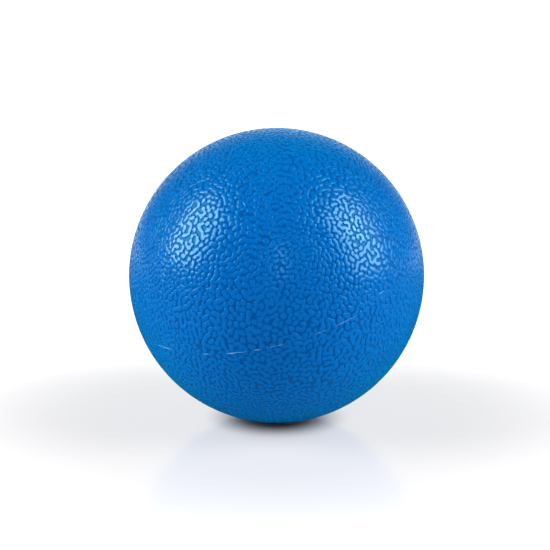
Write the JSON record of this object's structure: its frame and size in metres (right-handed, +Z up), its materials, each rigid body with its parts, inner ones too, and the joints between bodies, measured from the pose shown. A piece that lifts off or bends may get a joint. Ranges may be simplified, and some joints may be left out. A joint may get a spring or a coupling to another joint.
{
  "type": "stress ball",
  "caption": "Soft squeeze ball: two bonded elastomer half shells with a glossy leather-grain skin round a gel core, closed by a flush plug.",
  "frame": {"origin": "centre of the ball", "axes": "+Z up as the ball lies on a desk, the way it is pressed; -Y towards the viewer; the mould axis leans 20.7 degrees from +Z towards the front left"},
  "size_m": [0.063, 0.063, 0.063],
  "materials": {
    "skin": "gloss, leather grain",
    "gel": "clear soft gel",
    "plug": "satin"
  },
  "bodies": {
    "lower_half": {"lower_shell": "skin", "gel_core": "gel", "fill_plug": "plug"},
    "upper_half": {"upper_shell": "skin"}
  },
  "joints": [
    {"name": "squeeze", "type": "slide", "parent": "lower_half", "child": "upper_half", "axis": [0, 0, -1], "range_m": [0, 0.02], "stiffness_N_per_m": 2600, "deforming": ["upper_shell", "lower_shell", "gel_core"]}
  ]
}
